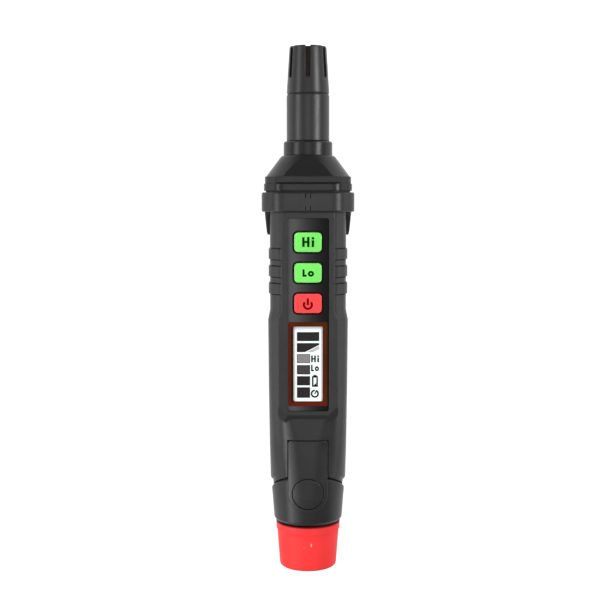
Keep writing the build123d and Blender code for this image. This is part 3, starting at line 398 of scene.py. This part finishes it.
node_materials = {
    "sensor_cap": neck_black,
    "sensor_screen": screen,
    "gas_sensor": steel,
    "sensor_board": board_green,
    "sensor_leads": jacket,
    "neck_tube": neck_black,
    "neck_seal": rubber,
    "nose_cone": nose_black,
    "nose_gasket": rubber,
    "collar": body_black,
    "front_shell": body_black,
    "rear_shell": body_black,
    "panel_lens": panel_black,
    "lcd_bezel": bezel_orange,
    "lcd_glass": display_white,
    "lcd_backlight": display_white,
    "lcd_connectors": rubber,
    "key_power": key_red,
    "key_lo": key_green,
    "key_hi": key_green,
    "switch_power": component,
    "switch_lo": component,
    "switch_hi": component,
    "main_board": board_green,
    "control_chip": component,
    "buzzer": component,
    "battery_tray": body_black,
    "cell_left": cell_wrap,
    "cell_right": cell_wrap,
    "contact_springs": contact,
    "bridge_contact": contact,
    "battery_cap": cap_black,
    "latch_button": cap_black,
    "latch_spring": contact,
    "cap_seal": rubber,
    "tail_cap": tail_red,
    "housing_screws": screw,
    "board_screws": screw,
}
for name, material in node_materials.items():
    nodes[name].data.materials.clear()
    nodes[name].data.materials.append(material)


# Pieces made here

def add_piece(name, mesh, body, material):
    """Object of a mesh in the part's frame that rides on a body."""
    piece = bpy.data.objects.new(name, mesh)
    bpy.context.scene.collection.objects.link(piece)
    mesh.materials.clear()
    mesh.materials.append(material)
    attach(piece, body)
    return piece


def mesh_of(shape, name):
    """Mesh of a finished shape, with its faces turned outwards."""
    bmesh.ops.recalc_face_normals(shape, faces=shape.faces)
    mesh = bpy.data.meshes.new(name)
    shape.to_mesh(mesh)
    shape.free()
    return mesh


def join_rings(shape, low, high):
    """Faces between two rings with as many corners."""
    for index in range(len(low)):
        follow = (index + 1) % len(low)
        shape.faces.new((low[index], low[follow], high[follow], high[index]))


def prism(outlines, level, thickness):
    """Mesh of flat outlines, each a list of (x, station) points in millimetres, raised to a thickness."""
    shape = bmesh.new()
    for outline in outlines:
        low = [shape.verts.new(point(x, station, level)) for x, station in outline]
        high = [shape.verts.new(point(x, station, level + thickness)) for x, station in outline]
        shape.faces.new(high)
        shape.faces.new(low[::-1])
        join_rings(shape, low, high)
    return mesh_of(shape, "prism")


def bar(left, right, low, high):
    """Rectangle between two sides and two stations."""
    return [(left, low), (right, low), (right, high), (left, high)]


def band(inner, outer):
    """Quads between two outlines with as many points."""
    count = len(inner)
    return [[inner[i], outer[i], outer[(i + 1) % count], inner[(i + 1) % count]] for i in range(count)]


def arc_band(x, station, radius, width, start, end, stretch=1.0, steps=32):
    """Quads of a band along an arc, with angles in degrees and a stretch along the stations."""
    quads = []
    for step in range(steps):
        angles = [math.radians(start + (end - start) * (step + share) / steps) for share in (0, 1)]
        edges = [[(x + r * math.cos(a), station + r * stretch * math.sin(a)) for a in angles]
                 for r in (radius - width / 2, radius + width / 2)]
        quads.append([edges[0][0], edges[1][0], edges[1][1], edges[0][1]])
    return quads


def rounded(width, height, corner, station, steps=8):
    """Outline of a rectangle with rounded corners about the middle line."""
    points = []
    for turn, (side, end) in enumerate(((1, 1), (-1, 1), (-1, -1), (1, -1))):
        centre = (side * (width / 2 - corner), station + end * (height / 2 - corner))
        for step in range(steps + 1):
            angle = math.pi / 2 * (turn + step / steps)
            points.append((centre[0] + corner * math.cos(angle), centre[1] + corner * math.sin(angle)))
    return points


# Shares of a stroke, or of the box that two letters fill
CROSSBAR_STROKE = 0.8
I_DOT_STROKE = 0.95
I_STEM_SHARE = 0.68
H_SHARE = 0.77
L_SHARE = 0.36
O_SHARE = 0.53
O_HEIGHT_SHARE = 0.78
LO_STROKE = 0.85


def letter_h(left, right, low, high, stroke):
    """Outline of a capital H."""
    middle = (low + high) / 2
    foot = middle - stroke * CROSSBAR_STROKE / 2
    head = middle + stroke * CROSSBAR_STROKE / 2
    return [(left, low), (left + stroke, low), (left + stroke, foot), (right - stroke, foot),
            (right - stroke, low), (right, low), (right, high), (right - stroke, high),
            (right - stroke, head), (left + stroke, head), (left + stroke, high), (left, high)]


def letters_hi(left, right, low, high, stroke):
    """Outlines of "Hi" that fill a box."""
    h_right = left + (right - left - stroke) * H_SHARE
    return [letter_h(left, h_right, low, high, stroke),
            bar(right - stroke, right, low, low + (high - low) * I_STEM_SHARE),
            bar(right - stroke, right, high - stroke * I_DOT_STROKE, high)]


def letters_lo(left, right, low, high, stroke):
    """Outlines of "Lo" that fill a box."""
    stroke = stroke * LO_STROKE
    foot = left + (right - left) * L_SHARE
    radius = ((right - left) * O_SHARE - stroke) / 2
    height = (high - low) * O_HEIGHT_SHARE
    stretch = (height / 2) / (radius + stroke / 2)
    return [[(left, low), (foot, low), (foot, low + stroke), (left + stroke, low + stroke),
             (left + stroke, high), (left, high)],
            *arc_band(right - radius - stroke / 2, low + height / 2, radius, stroke, 0, 360, stretch)]


# Display figures, on the face of the display
DISPLAY_LEVEL = 12.3
FIGURE_THICKNESS = 0.03
BAR_LEFT = -3.95
WIDE_RIGHT = 4.0
BAR_RIGHT = 0.74
BAR_EDGE = 0.22
wide_bar = (85.27, 88.49)


def figure(name, outlines, material):
    """Piece of the display's figures, from outlines in x and station."""
    add_piece(name, prism(outlines, DISPLAY_LEVEL, FIGURE_THICKNESS), "housing", material)


def segment(name, outline, inner, material, edge=figure_black):
    """Display segment with an edge of its own."""
    figure(name, [inner], material)
    figure(name + "_edge", band(inner, outline), edge)


def bar_segment(name, right, stations, material, edge=figure_black):
    """Rectangular display segment that starts at the bars' left side."""
    low, high = stations
    inner = bar(BAR_LEFT + BAR_EDGE, right - BAR_EDGE, low + BAR_EDGE, high - BAR_EDGE)
    segment(name, bar(BAR_LEFT, right, low, high), inner, material, edge)


bar_segment("bar_1", WIDE_RIGHT, wide_bar, figure_dark)

# The second bar has a slanted lower side with a pale glare below it
cut_low, cut_high = (81.31, 84.55)
cut_x, cut_station = (-1.07, 83.90)
CUT_INSET = 0.05
GLARE_GAP = 0.3
GLARE_WIDTH = 1.15
slope = (cut_station - cut_low) / (WIDE_RIGHT - cut_x)
cut_outline = [(BAR_LEFT, cut_low), (cut_x, cut_low), (WIDE_RIGHT, cut_station), (WIDE_RIGHT, cut_high),
               (BAR_LEFT, cut_high)]
cut_inner = [(BAR_LEFT + BAR_EDGE, cut_low + BAR_EDGE), (cut_x - CUT_INSET, cut_low + BAR_EDGE),
             (WIDE_RIGHT - BAR_EDGE * 2, cut_station), (WIDE_RIGHT - BAR_EDGE * 2, cut_high - BAR_EDGE),
             (BAR_LEFT + BAR_EDGE, cut_high - BAR_EDGE)]
segment("bar_2", cut_outline, cut_inner, figure_dark)
glare = [(cut_x + GLARE_GAP / slope, cut_low), (cut_x + (GLARE_GAP + GLARE_WIDTH) / slope, cut_low),
         (WIDE_RIGHT, cut_station - GLARE_GAP - GLARE_WIDTH), (WIDE_RIGHT, cut_station - GLARE_GAP)]
figure("bar_2_glare", [glare], figure_glare)

short_bars = (
    ((77.35, 80.59), figure_grey, figure_dim),
    ((73.28, 76.63), figure_dim, figure_black),
    ((69.31, 72.63), figure_dark, figure_black),
    ((64.82, 68.62), figure_dark, figure_black),
)
for number, (stations, material, edge) in enumerate(short_bars, start=3):
    bar_segment(f"bar_{number}", BAR_RIGHT, stations, material, edge)

# Signs beside the bars: letters, a battery with a slanted charge, and a clock with a hand
SIGN_STROKE = 0.6
sign_hi_box = (1.11, 3.92, 77.68, 80.09)
sign_lo_box = (1.11, 3.92, 74.43, 76.74)
figure("sign_hi", letters_hi(*sign_hi_box, SIGN_STROKE), figure_black)
figure("sign_lo", letters_lo(*sign_lo_box, SIGN_STROKE), figure_black)

battery_left, battery_right, battery_low, battery_high = (1.42, 3.54, 68.80, 72.66)
BATTERY_LINE = 0.54
BATTERY_NUB = 0.42
NUB_INSET = 0.45
CHARGE_INSET = 0.6
CHARGE_HEIGHT = 1.35
battery_outer = bar(battery_left, battery_right, battery_low, battery_high)
battery_inner = bar(battery_left + BATTERY_LINE, battery_right - BATTERY_LINE,
                    battery_low + BATTERY_LINE, battery_high - BATTERY_LINE)
battery_nub = bar(battery_left + NUB_INSET, battery_right - NUB_INSET,
                  battery_high, battery_high + BATTERY_NUB)
battery_charge = [(battery_left + CHARGE_INSET, battery_low + BATTERY_LINE),
                  (battery_right - CHARGE_INSET, battery_low + BATTERY_LINE),
                  (battery_right - CHARGE_INSET, battery_low + CHARGE_HEIGHT)]
figure("sign_battery", [*band(battery_inner, battery_outer), battery_nub, battery_charge], figure_black)

clock_x, clock_station = (2.45, 66.30)
CLOCK_RADIUS = 1.18
CLOCK_LINE = 0.58
CLOCK_START = 92
CLOCK_END = 425
hand_corners = ((-0.22, -0.1), (0.18, -0.22), (0.78, 1.15), (0.4, 1.3))
clock_ring = arc_band(clock_x, clock_station, CLOCK_RADIUS, CLOCK_LINE, CLOCK_START, CLOCK_END)
clock_hand = [(clock_x + right, clock_station + up) for right, up in hand_corners]
figure("sign_clock", [*clock_ring, clock_hand], figure_black)

# Key legends, on the tops of the keys
KEY_LEVEL = 13.15
LEGEND_THICKNESS = 0.03
LEGEND_STROKE = 0.86
legend_hi_box = (-2.05, 2.15, 118.82, 122.30)
legend_lo_box = (-1.95, 2.12, 108.32, 110.94)
power_x, power_station = (-0.04, 98.33)
POWER_RADIUS = 1.42
POWER_LINE = 0.76
POWER_START = 140
POWER_END = 400
POWER_BAR_FOOT = 0.1
POWER_BAR_HEAD = 2.25
power_ring = arc_band(power_x, power_station, POWER_RADIUS, POWER_LINE, POWER_START, POWER_END)
power_bar = bar(power_x - POWER_LINE / 2, power_x + POWER_LINE / 2,
                power_station - POWER_BAR_FOOT, power_station + POWER_BAR_HEAD)
legends = (
    ("hi", letters_hi(*legend_hi_box, LEGEND_STROKE), ink),
    ("lo", letters_lo(*legend_lo_box, LEGEND_STROKE), ink),
    ("power", [*power_ring, power_bar], ink_red),
)
for key, outlines, material in legends:
    mesh = prism(outlines, KEY_LEVEL, LEGEND_THICKNESS)
    add_piece(f"legend_{key}", mesh, f"key_{key}", material)

# Dark rings of painted shade on the panel, round the holes of the keys, tinted with each key's colour
PANEL_LEVEL = 12.8
KEY_WIDTH = 9.7
KEY_HEIGHT = 6.85
KEY_CORNER = 1.4
KEY_GAP = 0.25
BORDER_WIDTH = 0.42
BORDER_THICKNESS = 0.03
borders = (("hi", 120.5, key_shade_green), ("lo", 109.65, key_shade_green), ("power", 98.8, key_shade_red))


def key_outline(reach, station):
    """Outline of a key's top, wider by a reach on every side."""
    return rounded(KEY_WIDTH + 2 * reach, KEY_HEIGHT + 2 * reach, KEY_CORNER + reach, station)


for key, station, material in borders:
    outlines = band(key_outline(KEY_GAP, station), key_outline(KEY_GAP + BORDER_WIDTH, station))
    mesh = prism(outlines, PANEL_LEVEL, BORDER_THICKNESS)
    add_piece(f"border_{key}", mesh, "housing", material)


# Moulding marks on the red tail, on its front; the paler one's colour is a painted glint
ABOVE_TAIL = 40.0
MARK_SINK = 0.5


def tail_front(x, station):
    """Place on the front of the tail that is met from straight above at x and a station."""
    tail = nodes["tail_cap"]
    inward = tail.matrix_world.inverted()
    start = inward @ point(x, station, ABOVE_TAIL)
    _, place, _, _ = tail.ray_cast(start, (inward @ point(x, station, 0.0) - start).normalized())
    return tail.matrix_world @ place


def mark(name, x, station, half_width, half_length, height, material, steps=16, levels=4):
    """Low oval dome on the tail's front, of half a width, half a length and a height in millimetres."""
    centre = tail_front(x, station)
    angles = [math.tau * turn / steps for turn in range(steps)]
    shape = bmesh.new()
    rings = []
    for ring in range(levels):
        lean = math.pi / 2 * ring / levels
        wide = half_width * MM * math.cos(lean)
        long = half_length * MM * math.cos(lean)
        rise = height * MM * (math.sin(lean) * (1 + MARK_SINK) - MARK_SINK)
        places = [centre + Vector((wide * math.cos(angle), long * math.sin(angle), rise)) for angle in angles]
        rings.append([shape.verts.new(place) for place in places])
    crown = shape.verts.new(centre + Vector((0, 0, height * MM)))
    for low, high in zip(rings, rings[1:]):
        join_rings(shape, low, high)
    for turn in range(steps):
        shape.faces.new((rings[-1][turn], rings[-1][(turn + 1) % steps], crown))
    shape.faces.new(rings[0][::-1])
    add_piece(name, mesh_of(shape, "mark"), "battery_cap", material)


# Painted glint: the paler mark
mark("tail_mark", 1.2, 10.3, half_width=0.24, half_length=0.75, height=0.12, material=mark_glint)
mark("tail_mark_low", -1.4, 9.3, half_width=0.2, half_length=0.5, height=0.06, material=mark_faint)

# Screws of the back with cross recesses, in place of the plain ones
SCREW_X = 8.3
SCREW_STATIONS = (93.7, 124.3)
SCREW_SEAT = -6.0
SCREW_HEAD = 1.5
SCREW_HEAD_RADIUS = 1.7
SCREW_SHANK_RADIUS = 0.75
SCREW_LENGTH = 10.0
SCREW_TIP = 0.5
SCREW_TIP_SHARE = 0.5
head_edge = ((0.3, 0.0), (0.08, 0.1), (0.0, 0.35))
CROSS_REACH = 1.1
CROSS_HALF = 0.27
CROSS_DEPTH = 0.9
CUTTER_OVERRUN = 0.5


def turned(profile, centres, steps=32):
    """Mesh of a profile of (radius, level) points turned about upright axes at (x, station) centres."""
    angles = [math.tau * turn / steps for turn in range(steps)]
    shape = bmesh.new()
    for x, station in centres:
        rings = []
        for radius, level in profile:
            places = [point(x + radius * math.cos(angle), station + radius * math.sin(angle), level)
                      for angle in angles]
            rings.append([shape.verts.new(place) for place in places])
        for low, high in zip(rings, rings[1:]):
            join_rings(shape, low, high)
        shape.faces.new(rings[0][::-1])
        shape.faces.new(rings[-1])
    return mesh_of(shape, "turned")


def carved(mesh, cutter_mesh):
    """Mesh with the form of a cutter taken away."""
    whole = bpy.data.objects.new("whole", mesh)
    cutter = bpy.data.objects.new("cutter", cutter_mesh)
    for item in (whole, cutter):
        bpy.context.scene.collection.objects.link(item)
    step = whole.modifiers.new("cut", "BOOLEAN")
    step.operation = "DIFFERENCE"
    step.solver = "EXACT"
    step.object = cutter
    made = bpy.data.meshes.new_from_object(whole.evaluated_get(bpy.context.evaluated_depsgraph_get()))
    for item in (whole, cutter):
        bpy.data.objects.remove(item)
    return made


def cross(x, station, long, thin):
    """Outline of a cross about a centre, with arms of a reach and half a width."""
    corners = ((-thin, -long), (thin, -long), (thin, -thin), (long, -thin), (long, thin), (thin, thin),
               (thin, long), (-thin, long), (-thin, thin), (-long, thin), (-long, -thin), (-thin, -thin))
    return [(x + right, station + up) for right, up in corners]


screw_centres = [(side * SCREW_X, station) for station in SCREW_STATIONS for side in (-1, 1)]
head_face = SCREW_SEAT - SCREW_HEAD
screw_end = SCREW_SEAT + SCREW_LENGTH
screw_profile = [(SCREW_HEAD_RADIUS - inset, head_face + rise) for inset, rise in head_edge]
screw_profile += [(SCREW_HEAD_RADIUS, SCREW_SEAT), (SCREW_SHANK_RADIUS, SCREW_SEAT),
                  (SCREW_SHANK_RADIUS, screw_end - SCREW_TIP),
                  (SCREW_SHANK_RADIUS * SCREW_TIP_SHARE, screw_end)]
crosses = [cross(*centre, CROSS_REACH, CROSS_HALF) for centre in screw_centres]
cross_cutter = prism(crosses, head_face - CUTTER_OVERRUN, CROSS_DEPTH + CUTTER_OVERRUN)
screws = add_piece("housing_screws_cross", carved(turned(screw_profile, screw_centres), cross_cutter),
                   "housing", screw)
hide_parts("housing_screws")


# Lamps, world, floor and camera, in metres

def lamp(name, place, length, width, brightness):
    """Rectangular lamp of a length along the pen, facing the pen's axis."""
    data = bpy.data.lights.new(name, "AREA")
    data.shape = "RECTANGLE"
    data.size = length
    data.size_y = width
    data.energy = brightness * math.pi * length * width
    light = bpy.data.objects.new(name, data)
    light.location = place
    aim = Vector((0, place[1], AXIS_LEVEL * MM)) - Vector(place)
    light.rotation_euler = aim.to_track_quat("-Z", "Y").to_euler()
    bpy.context.scene.collection.objects.link(light)


lamp("lamp_right", (0.54, 0.16, 0.45), length=0.40, width=0.19, brightness=15.5)
lamp("lamp_left", (-0.60, -0.22, 0.37), length=0.40, width=0.20, brightness=11.0)
lamp("lamp_left_high", (-0.42, -0.26, 0.56), length=0.34, width=0.24, brightness=2.8)
lamp("lamp_left_tip", (-0.58, 0.16, 0.42), length=0.30, width=0.20, brightness=6.5)
lamp("lamp_top", (0.0001, 0.0, 0.90), length=0.34, width=0.50, brightness=1.9)


def camera_mix(tree, seen, unseen, output):
    """Shader that camera, glossy and transmission rays see in one way and the rest in another."""
    path = tree.nodes.new("ShaderNodeLightPath")
    total = path.outputs["Is Camera Ray"]
    for ray in ("Is Glossy Ray", "Is Transmission Ray"):
        total = computed(tree, "MAXIMUM", total, path.outputs[ray])
    mix = tree.nodes.new("ShaderNodeMixShader")
    tree.links.new(total, mix.inputs[0])
    tree.links.new(unseen, mix.inputs[1])
    tree.links.new(seen, mix.inputs[2])
    tree.links.new(mix.outputs[0], output)


# The sky is brightest at the horizon and beside the pen, and fades upwards and towards both ends
HORIZON_LIGHT = 0.8
UPPER_LIGHT = 0.22
UPPER_START = 0.02
UPPER_END = 0.16
SIDE_LIGHT = 1.0
END_LIGHT = 0.35
END_START = 0.35
END_END = 0.9
world = bpy.data.worlds.new("studio")
bpy.context.scene.world = world
world.use_nodes = True
sky = world.node_tree
sky.nodes.clear()
glow = sky.nodes.new("ShaderNodeBackground")
glow.inputs["Color"].default_value = (1, 1, 1, 1)
lengthwise = sky.nodes.new("ShaderNodeMath")
lengthwise.operation = "ABSOLUTE"
sky.links.new(part_axis(sky, "Y", "Generated"), lengthwise.inputs[0])
upwards = part_axis(sky, "Z", "Generated")
by_height = spread(sky, upwards, HORIZON_LIGHT, UPPER_LIGHT, UPPER_START, UPPER_END)
by_length = spread(sky, lengthwise.outputs[0], SIDE_LIGHT, END_LIGHT, END_START, END_END)
sky.links.new(computed(sky, "MULTIPLY", by_height, by_length), glow.inputs["Strength"])
sky_output = sky.nodes.new("ShaderNodeOutputWorld")
sky.links.new(glow.outputs[0], sky_output.inputs["Surface"])

# The floor looks like lit white paper, and throws back less light than it shows
FLOOR_HALF = 3.0
FLOOR_DROP = 0.00005
FLOOR_COLOUR = (0.5, 0.5, 0.5)
FLOOR_ROUGHNESS = 0.9
PAPER_GLOW = 0.73
floor_corners = bar(-FLOOR_HALF, FLOOR_HALF, -FLOOR_HALF, FLOOR_HALF)
floor_mesh = bpy.data.meshes.new("floor")
floor_mesh.from_pydata([(x, y, -FLOOR_DROP) for x, y in floor_corners], [], [(0, 1, 2, 3)])
floor = bpy.data.objects.new("floor", floor_mesh)
bpy.context.scene.collection.objects.link(floor)
floor_material = new_material("floor", FLOOR_COLOUR, FLOOR_ROUGHNESS, 0.0)
floor_tree, floor_shader = parts_of(floor_material)
paper = floor_tree.nodes.new("ShaderNodeEmission")
paper.inputs["Strength"].default_value = PAPER_GLOW
lit = floor_tree.nodes.new("ShaderNodeAddShader")
floor_tree.links.new(floor_shader.outputs[0], lit.inputs[0])
floor_tree.links.new(paper.outputs[0], lit.inputs[1])
floor_surface = floor_tree.nodes["Material Output"].inputs["Surface"]
camera_mix(floor_tree, lit.outputs[0], floor_shader.outputs[0], floor_surface)
floor_mesh.materials.append(floor_material)

# The camera stands over the nose and looks a little back towards the tail
CAMERA_PLACE = (0.0, 0.04033, 0.43126)
CAMERA_TILT = -0.09421
SENSOR_WIDTH = 36.0
LENS = 66.8
camera_data = bpy.data.cameras.new("camera")
camera_data.sensor_width = SENSOR_WIDTH
camera_data.lens = LENS
camera = bpy.data.objects.new("camera", camera_data)
camera.location = CAMERA_PLACE
camera.rotation_euler = (CAMERA_TILT, 0, 0)
bpy.context.scene.collection.objects.link(camera)
bpy.context.scene.camera = camera

bpy.context.scene.view_settings.view_transform = "Standard"
